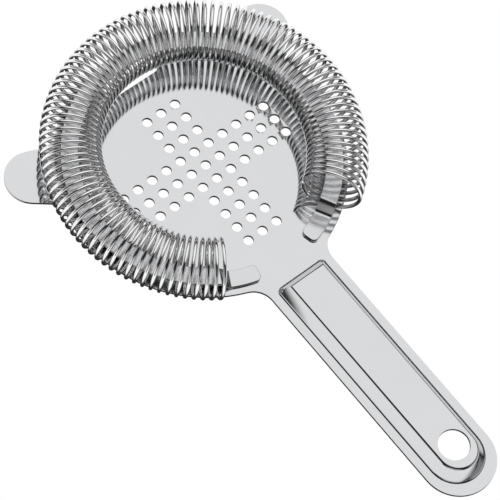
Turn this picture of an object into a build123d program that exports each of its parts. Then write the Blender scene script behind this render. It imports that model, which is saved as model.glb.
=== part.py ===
"""A two-eared hawthorne strainer: stamped plate, spring band and coil spring.

Millimetres, +Z up with the spring on top of the plate, the plate's back face on
z = 0, the origin under the centre of the spring ring, and the handle along +X.
"""
import os
from math import atan, cos, degrees, hypot, pi, radians, sin, tan

from build123d import *

# Stamped plate
SHEET = 0.9
DISC_RADIUS = 39.6
EAR_ANGLE = 120.0
EAR_TIP_RADIUS = 7.6
EAR_REACH = 52.8
EAR_TAPER = 8.0
EAR_ROOT_FILLET = 4.0
HANDLE_WIDTH = 20.7
HANDLE_END = 115.2
NECK_FILLET = 6.0

# Cut-out in the front of the disc, opposite the handle
NOTCH_WIDTH = 18.0
NOTCH_FLOOR = 28.7
NOTCH_FILLET = 2.5
NOTCH_LIP_FILLET = 2.0

# Perforations: a cross, three holes wide, on a square grid
HOLE_DIAMETER = 2.8
HOLE_PITCH = 4.8
GRID_X = 1.5
GRID_Y = 0.25
LONG_ARM = range(-4, 6)
CROSS_ARM = range(-5, 6)
ARM_WIDTH = range(-1, 2)

# Channel pressed up along the handle, hollow at the back
EMBOSS_START = 41.2
EMBOSS_END = 111.6
EMBOSS_WIDTH = 15.7
EMBOSS_HEIGHT = 4.0
EMBOSS_WALL_RUN = 2.4
EMBOSS_CORNER = 1.5
EMBOSS_TOP_ROUND = 1.1
EMBOSS_ROOT_ROUND = 0.9
HANG_HOLE_X = 102.4
HANG_HOLE_DIAMETER = 8.5

# Coil spring bent into an open ring
RING_RADIUS = 35.4
COIL_DIAMETER = 16.6
WIRE_DIAMETER = 1.0
COIL_TURNS = 96
COIL_START = 31.5
COIL_SWEEP = 297.4
COIL_GAP = 0.2

# Flat band that runs through the coil and holds it on the plate
BAND_THICKNESS = 1.0
BAND_WIDTH = 4.7
BAND_LIFT = 2.8
PAD_TIP_ANGLE = 13.8
PAD_CORNER = 1.4
RAMP_START = 27.3
RAMP_END = 31.5
RAMP_BEND = 2.4
LEVEL_ANGLE = 33.5

WIRE_RADIUS = WIRE_DIAMETER / 2
HELIX_RADIUS = COIL_DIAMETER / 2 - WIRE_RADIUS
COIL_CENTRE_Z = SHEET + COIL_GAP + COIL_DIAMETER / 2
ARCS_PER_TURN = 6
TURNS_PER_LENGTH = 8


def ear(angle):
    """One ear: a round tip whose sides spread towards the disc."""
    centre, lean = EAR_REACH - EAR_TIP_RADIUS, radians(EAR_TAPER)
    x, y = centre + EAR_TIP_RADIUS * sin(lean), EAR_TIP_RADIUS * cos(lean)
    root = y + x * tan(lean)
    sides = make_face(Polyline((0, -root), (x, -y), (x, y), (0, root), close=True))
    return Rot(0, 0, angle) * (sides + Pos(centre, 0) * Circle(EAR_TIP_RADIUS))


def handle_blank():
    length = HANDLE_END - HANDLE_WIDTH / 2
    bar = Pos(length / 2, 0) * Rectangle(length, HANDLE_WIDTH)
    return bar + Pos(length, 0) * Circle(HANDLE_WIDTH / 2)


def root_fillets(outline):
    """Fillets where the ears and the handle meet the disc's rim."""
    rim = [v for v in outline.vertices() if abs(hypot(v.X, v.Y) - DISC_RADIUS) < 0.01]
    neck = [v for v in rim if v.X > 0]
    ears = [v for v in rim if v.X <= 0]
    outline = fillet(neck, NECK_FILLET)
    near = [v for v in outline.vertices() if abs(hypot(v.X, v.Y) - DISC_RADIUS) < 0.01]
    roots = [v for v in near if any(hypot(v.X - e.X, v.Y - e.Y) < 0.01 for e in ears)]
    return fillet(roots, EAR_ROOT_FILLET)


def notch():
    """The front cut-out, with rounded inner corners and flared lips."""
    depth = DISC_RADIUS
    slot = Pos(-NOTCH_FLOOR - depth / 2, 0) * Rectangle(depth, NOTCH_WIDTH)
    return fillet(slot.vertices().group_by(Axis.X)[-1], NOTCH_FILLET)


def plate_outline():
    outline = Circle(DISC_RADIUS) + ear(EAR_ANGLE) + ear(-EAR_ANGLE) + handle_blank()
    outline = root_fillets(outline) - notch()
    lips = [v for v in outline.vertices()
            if v.X < 0 and abs(abs(v.Y) - NOTCH_WIDTH / 2) < 0.01
            and abs(hypot(v.X, v.Y) - DISC_RADIUS) < 0.01]
    return fillet(lips, NOTCH_LIP_FILLET)


def hole_centres():
    """Grid points of the cross, each one once."""
    long_arm = {(i, j) for i in LONG_ARM for j in ARM_WIDTH}
    cross_arm = {(i, j) for i in ARM_WIDTH for j in CROSS_ARM}
    return [(GRID_X + i * HOLE_PITCH, GRID_Y + j * HOLE_PITCH)
            for i, j in sorted(long_arm | cross_arm)]


def emboss_sketch(inset):
    """Footprint of the pressed channel: square at the disc end, round at the tip."""
    half = EMBOSS_WIDTH / 2 - inset
    start, centre = EMBOSS_START + inset, EMBOSS_END - EMBOSS_WIDTH / 2
    bar = Pos((start + centre) / 2, 0) * Rectangle(centre - start, 2 * half)
    bar = fillet(bar.vertices().group_by(Axis.X)[0], EMBOSS_CORNER)
    return bar + Pos(centre, 0) * Circle(half)


def emboss_shell():
    """The raised channel and the hollow under it, as two tapered solids."""
    taper = degrees(atan(EMBOSS_WALL_RUN / EMBOSS_HEIGHT))
    wall = SHEET / cos(radians(taper))
    back_inset = wall - SHEET * EMBOSS_WALL_RUN / EMBOSS_HEIGHT
    raised = Pos(0, 0, SHEET) * extrude(emboss_sketch(0), EMBOSS_HEIGHT, taper=taper)
    hollow = extrude(emboss_sketch(back_inset), EMBOSS_HEIGHT, taper=taper)
    raised = fillet(raised.faces().sort_by(Axis.Z)[-1].edges(), EMBOSS_TOP_ROUND)
    return raised, hollow


def over_emboss(edges, height):
    """The edges that lie at one height on or inside the channel's footprint."""
    return [e for e in edges if abs(e.center().Z - height) < 0.01
            and EMBOSS_START - 0.01 < e.center().X < EMBOSS_END + 0.01
            and abs(e.center().Y) < EMBOSS_WIDTH / 2 + 0.01]


def strainer_plate():
    plate = extrude(plate_outline(), SHEET)
    raised, hollow = emboss_shell()
    plate = plate + raised - hollow
    for height in (SHEET, 0):
        plate = fillet(over_emboss(plate.edges(), height), EMBOSS_ROOT_ROUND)
    for x, y in hole_centres():
        plate -= Pos(x, y, SHEET / 2) * Cylinder(HOLE_DIAMETER / 2, 2 * SHEET)
    top = SHEET + EMBOSS_HEIGHT
    plate -= Pos(HANG_HOLE_X, 0, top) * Cylinder(HANG_HOLE_DIAMETER / 2, 4 * SHEET)
    return plate


def sector(start, stop):
    """Plan of the wedge between two angles, out past the spring ring."""
    reach = 2 * RING_RADIUS
    arc = CenterArc((0, 0), reach, start, stop - start)
    return make_face([arc, Line(arc @ 1, (0, 0)), Line((0, 0), arc @ 0)])


def band_plan():
    """The band from above: an open ring with square ends and rounded corners."""
    ring = Circle(RING_RADIUS + BAND_WIDTH / 2) - Circle(RING_RADIUS - BAND_WIDTH / 2)
    ring -= sector(-PAD_TIP_ANGLE, PAD_TIP_ANGLE)
    return fillet(ring.vertices(), PAD_CORNER)


def joggle_profile():
    """Side view of one band end: pad on the plate, ramp, then the level run."""
    run = radians(RAMP_END - RAMP_START) * RING_RADIUS
    low, high = SHEET + BAND_THICKNESS / 2, SHEET + BAND_LIFT + BAND_THICKNESS / 2
    points = [(-RING_RADIUS, low), (-run / 2, low), (run / 2, high), (RING_RADIUS, high)]
    return trace(FilletPolyline(*points, radius=RAMP_BEND), BAND_THICKNESS)


def band_end():
    """The pad and ramp at the +Y end, up to where the band runs level."""
    middle = (RAMP_START + RAMP_END) / 2
    side_on = Rot(0, 0, middle) * (Plane.YZ * joggle_profile())
    bent = extrude(side_on, 2 * RING_RADIUS)
    plan = band_plan() & sector(0, LEVEL_ANGLE)
    return bent & Pos(0, 0, SHEET) * extrude(plan, BAND_LIFT + BAND_THICKNESS)


def spring_band():
    plan = band_plan() & sector(LEVEL_ANGLE, 360 - LEVEL_ANGLE)
    level = Pos(0, 0, SHEET + BAND_LIFT) * extrude(plan, BAND_THICKNESS)
    end = band_end()
    return level + end + mirror(end, about=Plane.XZ)


def helix(turn):
    """Point and tangent of the coil's centreline after so many turns."""
    along_rate, round_rate = radians(COIL_SWEEP) / COIL_TURNS, 2 * pi
    along = radians(COIL_START) + along_rate * turn
    around = pi + round_rate * turn
    reach = RING_RADIUS + HELIX_RADIUS * cos(around)
    outward = -HELIX_RADIUS * sin(around) * round_rate
    point = Vector(reach * cos(along), reach * sin(along),
                   COIL_CENTRE_Z + HELIX_RADIUS * sin(around))
    tangent = Vector(outward * cos(along) - reach * sin(along) * along_rate,
                     outward * sin(along) + reach * cos(along) * along_rate,
                     HELIX_RADIUS * cos(around) * round_rate)
    return point, tangent


def coil_path(first, last):
    """The wire's centreline between two turns: short arcs, each one leaving along the last."""
    here, heading = helix(first)
    arcs = []
    for step in range(first * ARCS_PER_TURN + 1, last * ARCS_PER_TURN + 1):
        ahead, _ = helix(step / ARCS_PER_TURN)
        arcs.append(Edge.make_tangent_arc(here, heading, ahead))
        here, heading = ahead, arcs[-1] % 1
    return Wire(arcs)


def coil_spring():
    """One wire, written as lengths that meet face to face."""
    lengths = []
    for first in range(0, COIL_TURNS, TURNS_PER_LENGTH):
        path = coil_path(first, first + TURNS_PER_LENGTH)
        section = Plane(origin=path @ 0, z_dir=path % 0) * Circle(WIRE_RADIUS)
        lengths.append(sweep(section, path=path).solid())
    return Compound(children=lengths)


if __name__ == "__main__":
    os.makedirs("parts", exist_ok=True)
    for build in (strainer_plate, spring_band, coil_spring):
        export_step(build(), f"parts/{build.__name__}.step")
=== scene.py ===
"""The looks of a hawthorne strainer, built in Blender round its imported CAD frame."""
import math

import bmesh
import bpy
from mathutils import Matrix, Vector


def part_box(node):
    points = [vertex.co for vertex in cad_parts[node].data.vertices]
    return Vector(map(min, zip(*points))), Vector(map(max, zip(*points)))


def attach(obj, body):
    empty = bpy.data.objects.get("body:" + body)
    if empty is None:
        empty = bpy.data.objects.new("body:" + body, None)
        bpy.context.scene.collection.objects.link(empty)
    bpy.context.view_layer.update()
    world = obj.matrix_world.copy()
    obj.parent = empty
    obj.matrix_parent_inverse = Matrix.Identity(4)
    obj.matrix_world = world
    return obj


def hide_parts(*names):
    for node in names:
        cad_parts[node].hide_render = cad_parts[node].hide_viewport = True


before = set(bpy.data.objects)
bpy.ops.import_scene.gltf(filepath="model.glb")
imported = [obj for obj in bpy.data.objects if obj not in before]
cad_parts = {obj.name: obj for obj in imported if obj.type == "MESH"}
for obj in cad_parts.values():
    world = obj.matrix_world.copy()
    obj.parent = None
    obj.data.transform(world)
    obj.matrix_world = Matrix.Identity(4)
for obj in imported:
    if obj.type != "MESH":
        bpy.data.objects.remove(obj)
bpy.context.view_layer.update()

# View: where the camera looks, from where, and how far it is rolled.
AIM = Vector((0.0278, -0.00585, 0.00045))
AZIMUTH = -52.91
ELEVATION = 63.84
ROLL = 15.15
DISTANCE = 0.6575
LENS = 180.0
SENSOR = 36.0
CLIP_END = 10.0

# Coil spring: what its CAD solid's box doesn't say
WIRE_RADIUS = 0.0005
COIL_TURNS = 96
COIL_START = math.radians(31.5)
COIL_SWEEP = math.radians(297.4)
STEPS_PER_TURN = 48
WIRE_SIDES = 14
WIRE_END_ROUND = 4
WIRE_END_DEPTH = 0.5 * WIRE_RADIUS
STEP_AHEAD = 0.01

# Cut edges of the sheet metal, rounded over by tumbling; angles in degrees
PLATE_EDGE_ROUND = 0.00012
BAND_EDGE_ROUND = 0.00016
SHARP_ABOVE = 40.0
FLAT_WITHIN = 0.3
EDGE_SEGMENTS = 2
SAME_POINT = 1e-6

# Steels: colour, roughness and its spread, streaks per metre along X, Y and Z, grain depth
PLATE_STEEL = ((0.715, 0.72, 0.73), 0.075, 0.012, (60.0, 900.0, 900.0), 0.0000008)
BAND_STEEL = ((0.70, 0.705, 0.715), 0.13, 0.02, (400.0, 400.0, 400.0), 0.000002)
WIRE_STEEL = ((0.93, 0.93, 0.935), 0.03, 0.008, (500.0, 500.0, 500.0), 0.000002)
CLOUDS_PER_METRE = 90.0
CLOUD_SHADE = 0.95
GRAIN_STRENGTH = 0.02
SCUFF_LOW, SCUFF_HIGH = 0.3, 0.7

# Floor: white to the eye. In the steel's reflections it carries a painted contact shadow: dark
# near the object's outline, a disc and a round-ended bar along +X, and bright further off.
FLOOR_SIZE = 4.0
FLOOR_DROP = 0.0002
FLOOR_PAINTED_SHADOW = 0.03
FLOOR_GLOW = 1.0
SHADE_INNER = 0.003
SHADE_OUTER = 0.010
DISC_REACH = 0.0455
HANDLE_LENGTH = 0.1045
HANDLE_HALF = 0.0105
FAR = 1.0

# Soft lights in the sky: azimuth, elevation, inner and outer half-angles, strength
SKY_BASE = 0.02
SKY_LIGHTS = (
    (130.0, 60.0, 36.0, 47.0, 0.98),
    (-62.0, 20.0, 6.0, 22.0, 0.20),
    (40.0, 12.0, 14.0, 36.0, 0.35),
    (-165.0, 12.0, 14.0, 36.0, 0.35),
    (-38.0, 10.0, 14.0, 32.0, 0.45),
    (-108.0, 0.0, 12.0, 26.0, 0.9),
)


# ---------------------------------------------------------------- node helpers

def new_material(name):
    material = bpy.data.materials.new(name)
    material.use_nodes = True
    nodes = material.node_tree.nodes
    return material, nodes, material.node_tree.links, nodes["Principled BSDF"]


def noise(nodes, links, vector, scale, detail=4.0, roughness=0.55):
    node = nodes.new("ShaderNodeTexNoise")
    node.inputs["Scale"].default_value = scale
    node.inputs["Detail"].default_value = detail
    node.inputs["Roughness"].default_value = roughness
    links.new(vector, node.inputs["Vector"])
    return node.outputs["Fac"]


def ramp(nodes, links, value, low, high, out_low, out_high):
    node = nodes.new("ShaderNodeMapRange")
    node.inputs["From Min"].default_value = low
    node.inputs["From Max"].default_value = high
    node.inputs["To Min"].default_value = out_low
    node.inputs["To Max"].default_value = out_high
    links.new(value, node.inputs["Value"])
    return node.outputs["Result"]


def vector_math(nodes, links, operation, first, second):
    """One operation on a socket and either another socket or a plain vector."""
    node = nodes.new("ShaderNodeVectorMath")
    node.operation = operation
    links.new(first, node.inputs[0])
    if isinstance(second, bpy.types.NodeSocket):
        links.new(second, node.inputs[1])
    else:
        node.inputs[1].default_value = second
    return node.outputs["Value" if operation in ("LENGTH", "DOT_PRODUCT") else "Vector"]


def stretched(nodes, links, scale):
    """Object coordinates stretched into streaks for a drawn or brushed grain."""
    coords = nodes.new("ShaderNodeTexCoord").outputs["Object"]
    mapping = nodes.new("ShaderNodeMapping")
    mapping.inputs["Scale"].default_value = scale
    links.new(coords, mapping.inputs["Vector"])
    return mapping.outputs["Vector"]


# ------------------------------------------------------------------- materials

def steel(name, colour, rough, rough_spread, grain, grain_depth):
    """Stainless steel with cloudy colour, uneven polish and a fine streaked grain."""
    material, nodes, links, shader = new_material(name)
    even = stretched(nodes, links, (1.0, 1.0, 1.0))
    streaks = stretched(nodes, links, grain)

    clouds = noise(nodes, links, even, CLOUDS_PER_METRE, 5.0)
    tint = nodes.new("ShaderNodeMix")
    tint.data_type = "RGBA"
    tint.inputs["A"].default_value = (*[c * CLOUD_SHADE for c in colour], 1.0)
    tint.inputs["B"].default_value = (*colour, 1.0)
    links.new(clouds, tint.inputs["Factor"])
    links.new(tint.outputs["Result"], shader.inputs["Base Color"])

    scuffs = noise(nodes, links, streaks, 1.0, 6.0, 0.65)
    links.new(ramp(nodes, links, scuffs, SCUFF_LOW, SCUFF_HIGH,
                   rough - rough_spread, rough + rough_spread), shader.inputs["Roughness"])

    bump = nodes.new("ShaderNodeBump")
    bump.inputs["Strength"].default_value = GRAIN_STRENGTH
    bump.inputs["Distance"].default_value = grain_depth
    links.new(scuffs, bump.inputs["Height"])
    links.new(bump.outputs["Normal"], shader.inputs["Normal"])

    shader.inputs["Metallic"].default_value = 1.0
    return material


# ---------------------------------------------------------------------- pieces

def mesh_object(name, bm, material):
    mesh = bpy.data.meshes.new(name)
    bm.normal_update()
    bm.to_mesh(mesh)
    bm.free()
    for polygon in mesh.polygons:
        polygon.use_smooth = True
    mesh.materials.append(material)
    piece = bpy.data.objects.new(name, mesh)
    bpy.context.collection.objects.link(piece)
    return piece


def coil_geometry():
    """Ring radius, helix radius and centre height, from the CAD solid's box."""
    low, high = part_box("coil_spring")
    tube = high[2] - low[2]
    ring = (high[1] - low[1]) / 2 - tube / 2
    return ring, tube / 2 - WIRE_RADIUS, (high[2] + low[2]) / 2


def helix(turn, ring, radius, height):
    along = COIL_START + COIL_SWEEP * turn / COIL_TURNS
    around = math.pi + 2 * math.pi * turn
    outward = Vector((math.cos(along), math.sin(along), 0.0))
    side = outward * math.cos(around) + Vector((0.0, 0.0, math.sin(around)))
    return outward * ring + Vector((0.0, 0.0, height)) + side * radius, side


def add_ring(bm, centre, side, tangent, radius):
    side = (side - tangent * side.dot(tangent)).normalized()
    other = tangent.cross(side)
    ring = []
    for k in range(WIRE_SIDES):
        angle = 2 * math.pi * k / WIRE_SIDES
        offset = side * math.cos(angle) + other * math.sin(angle)
        ring.append(bm.verts.new(centre + offset * radius))
    return ring


def coil_spring(material):
    """The wire as one smooth tube with rounded ends."""
    shape = coil_geometry()
    bm = bmesh.new()
    rings = []
    last = COIL_TURNS * STEPS_PER_TURN

    def station(step):
        centre, side = helix(step / STEPS_PER_TURN, *shape)
        ahead, _ = helix((step + STEP_AHEAD) / STEPS_PER_TURN, *shape)
        return centre, side, (ahead - centre).normalized()

    def end_cap(step, direction):
        centre, side, tangent = station(step)
        for k in range(WIRE_END_ROUND):
            angle = math.pi / 2 * (k + 0.25) / WIRE_END_ROUND
            depth, radius = math.cos(angle), math.sin(angle)
            yield add_ring(bm, centre + tangent * direction * depth * WIRE_END_DEPTH,
                           side, tangent, radius * WIRE_RADIUS)

    rings += list(end_cap(0, -1))
    for step in range(last + 1):
        centre, side, tangent = station(step)
        rings.append(add_ring(bm, centre, side, tangent, WIRE_RADIUS))
    rings += list(end_cap(last, 1))[::-1]

    for near, far in zip(rings, rings[1:]):
        for k in range(WIRE_SIDES):
            after = (k + 1) % WIRE_SIDES
            bm.faces.new((near[k], near[after], far[after], far[k]))
    bm.faces.new(rings[0][::-1])
    bm.faces.new(rings[-1])
    piece = mesh_object("spring_wire", bm, material)
    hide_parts("coil_spring")
    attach(piece, "spring")


def softened(node, name, material, width):
    """A CAD node's shape with its cut edges rounded over, in place of that node."""
    bm = bmesh.new()
    bm.from_mesh(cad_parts[node].data)
    bmesh.ops.remove_doubles(bm, verts=bm.verts, dist=SAME_POINT)
    bmesh.ops.dissolve_limit(bm, angle_limit=math.radians(FLAT_WITHIN), verts=bm.verts,
                             edges=bm.edges)
    sharp = [edge for edge in bm.edges
             if len(edge.link_faces) == 2 and edge.calc_face_angle() > math.radians(SHARP_ABOVE)]
    bmesh.ops.bevel(bm, geom=sharp, offset=width, offset_type="OFFSET",
                    segments=EDGE_SEGMENTS, profile=0.5, affect="EDGES", clamp_overlap=True)
    bmesh.ops.triangulate(bm, faces=[face for face in bm.faces if len(face.verts) > 4])
    piece = mesh_object(name, bm, material)
    weigh = piece.modifiers.new("even_shading", "WEIGHTED_NORMAL")
    weigh.weight = 100
    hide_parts(node)
    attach(piece, "plate")


# ---------------------------------------------------------------------- studio

def outline_gap(nodes, links, vector, radius):
    """How far the vector reaches past the radius."""
    length = vector_math(nodes, links, "LENGTH", vector, (0, 0, 0))
    return ramp(nodes, links, length, radius, radius + FAR, 0.0, FAR)


def distance_from_object(nodes, links):
    """Distance on the floor from the disc or the handle, whichever is nearer."""
    place = nodes.new("ShaderNodeNewGeometry").outputs["Position"]
    held = vector_math(nodes, links, "MAXIMUM", place, (0.0, -FAR, -FAR))
    held = vector_math(nodes, links, "MINIMUM", held, (HANDLE_LENGTH, FAR, FAR))
    along = vector_math(nodes, links, "MULTIPLY", held, (1.0, 0.0, 0.0))
    across = vector_math(nodes, links, "SUBTRACT", place, along)
    nearest = nodes.new("ShaderNodeMath")
    nearest.operation = "MINIMUM"
    links.new(outline_gap(nodes, links, across, HANDLE_HALF), nearest.inputs[0])
    links.new(outline_gap(nodes, links, place, DISC_REACH), nearest.inputs[1])
    return nearest.outputs["Value"]


def floor_material():
    material = bpy.data.materials.new("studio_floor")
    material.use_nodes = True
    nodes, links = material.node_tree.nodes, material.node_tree.links
    nodes.clear()
    glow = nodes.new("ShaderNodeEmission")
    out = nodes.new("ShaderNodeOutputMaterial")
    links.new(glow.outputs["Emission"], out.inputs["Surface"])
    # Painted contact shadow: in reflections the floor's glow drops to a dark level near the
    # object's outline.
    painted_shadow_glow = ramp(nodes, links, distance_from_object(nodes, links),
               SHADE_INNER, SHADE_OUTER, FLOOR_PAINTED_SHADOW, FLOOR_GLOW)
    path = nodes.new("ShaderNodeLightPath")
    mix = nodes.new("ShaderNodeMix")
    links.new(path.outputs["Is Camera Ray"], mix.inputs["Factor"])
    links.new(painted_shadow_glow, mix.inputs["A"])
    mix.inputs["B"].default_value = 1.0
    links.new(mix.outputs["Result"], glow.inputs["Strength"])
    glow.inputs["Color"].default_value = (1, 1, 1, 1)
    return material


def add_floor():
    bpy.ops.mesh.primitive_plane_add(size=FLOOR_SIZE, location=(0, 0, -FLOOR_DROP))
    floor = bpy.context.object
    floor.name = "floor"
    floor.data.materials.append(floor_material())


def direction(azimuth, elevation):
    azimuth, elevation = math.radians(azimuth), math.radians(elevation)
    return Vector((math.cos(elevation) * math.cos(azimuth),
                   math.cos(elevation) * math.sin(azimuth), math.sin(elevation)))


def sky_light(nodes, links, coords, azimuth, elevation, inner, outer, strength):
    """One round light that fades out between two angles from its middle."""
    facing = vector_math(nodes, links, "DOT_PRODUCT", coords, direction(azimuth, elevation))
    lobe = nodes.new("ShaderNodeMapRange")
    lobe.interpolation_type = "SMOOTHSTEP"
    lobe.inputs["From Min"].default_value = math.cos(math.radians(outer))
    lobe.inputs["From Max"].default_value = math.cos(math.radians(inner))
    lobe.inputs["To Min"].default_value = 0.0
    lobe.inputs["To Max"].default_value = strength
    links.new(facing, lobe.inputs["Value"])
    return lobe.outputs["Result"]


def add_sky():
    world = bpy.data.worlds.new("studio")
    bpy.context.scene.world = world
    world.use_nodes = True
    nodes, links = world.node_tree.nodes, world.node_tree.links
    background = nodes["Background"]
    coords = nodes.new("ShaderNodeTexCoord").outputs["Generated"]
    total = None
    for light in SKY_LIGHTS:
        add = nodes.new("ShaderNodeMath")
        add.operation = "ADD"
        links.new(sky_light(nodes, links, coords, *light), add.inputs[0])
        if total is None:
            add.inputs[1].default_value = SKY_BASE
        else:
            links.new(total, add.inputs[1])
        total = add.outputs["Value"]
    background.inputs["Color"].default_value = (1, 1, 1, 1)
    links.new(total, background.inputs["Strength"])


def add_camera():
    back = direction(AZIMUTH, ELEVATION)
    level = Vector((0, 0, 1)).cross(back).normalized()
    rise = back.cross(level)
    roll = math.radians(ROLL)
    right = level * math.cos(roll) + rise * math.sin(roll)
    up = rise * math.cos(roll) - level * math.sin(roll)
    data = bpy.data.cameras.new("camera")
    data.lens = LENS
    data.sensor_width = SENSOR
    data.clip_end = CLIP_END
    camera = bpy.data.objects.new("camera", data)
    bpy.context.collection.objects.link(camera)
    turn = Matrix((right, up, back)).transposed().to_4x4()
    camera.matrix_world = Matrix.Translation(AIM + back * DISTANCE) @ turn
    bpy.context.scene.camera = camera


def main():
    bpy.context.scene.view_settings.view_transform = "Standard"
    add_camera()
    add_sky()
    add_floor()
    plate = steel("plate_satin_steel", *PLATE_STEEL)
    band = steel("band_satin_steel", *BAND_STEEL)
    wire = steel("spring_bright_wire", *WIRE_STEEL)
    softened("strainer_plate", "plate_pressing", plate, PLATE_EDGE_ROUND)
    softened("spring_band", "band_strip", band, BAND_EDGE_ROUND)
    coil_spring(wire)


main()
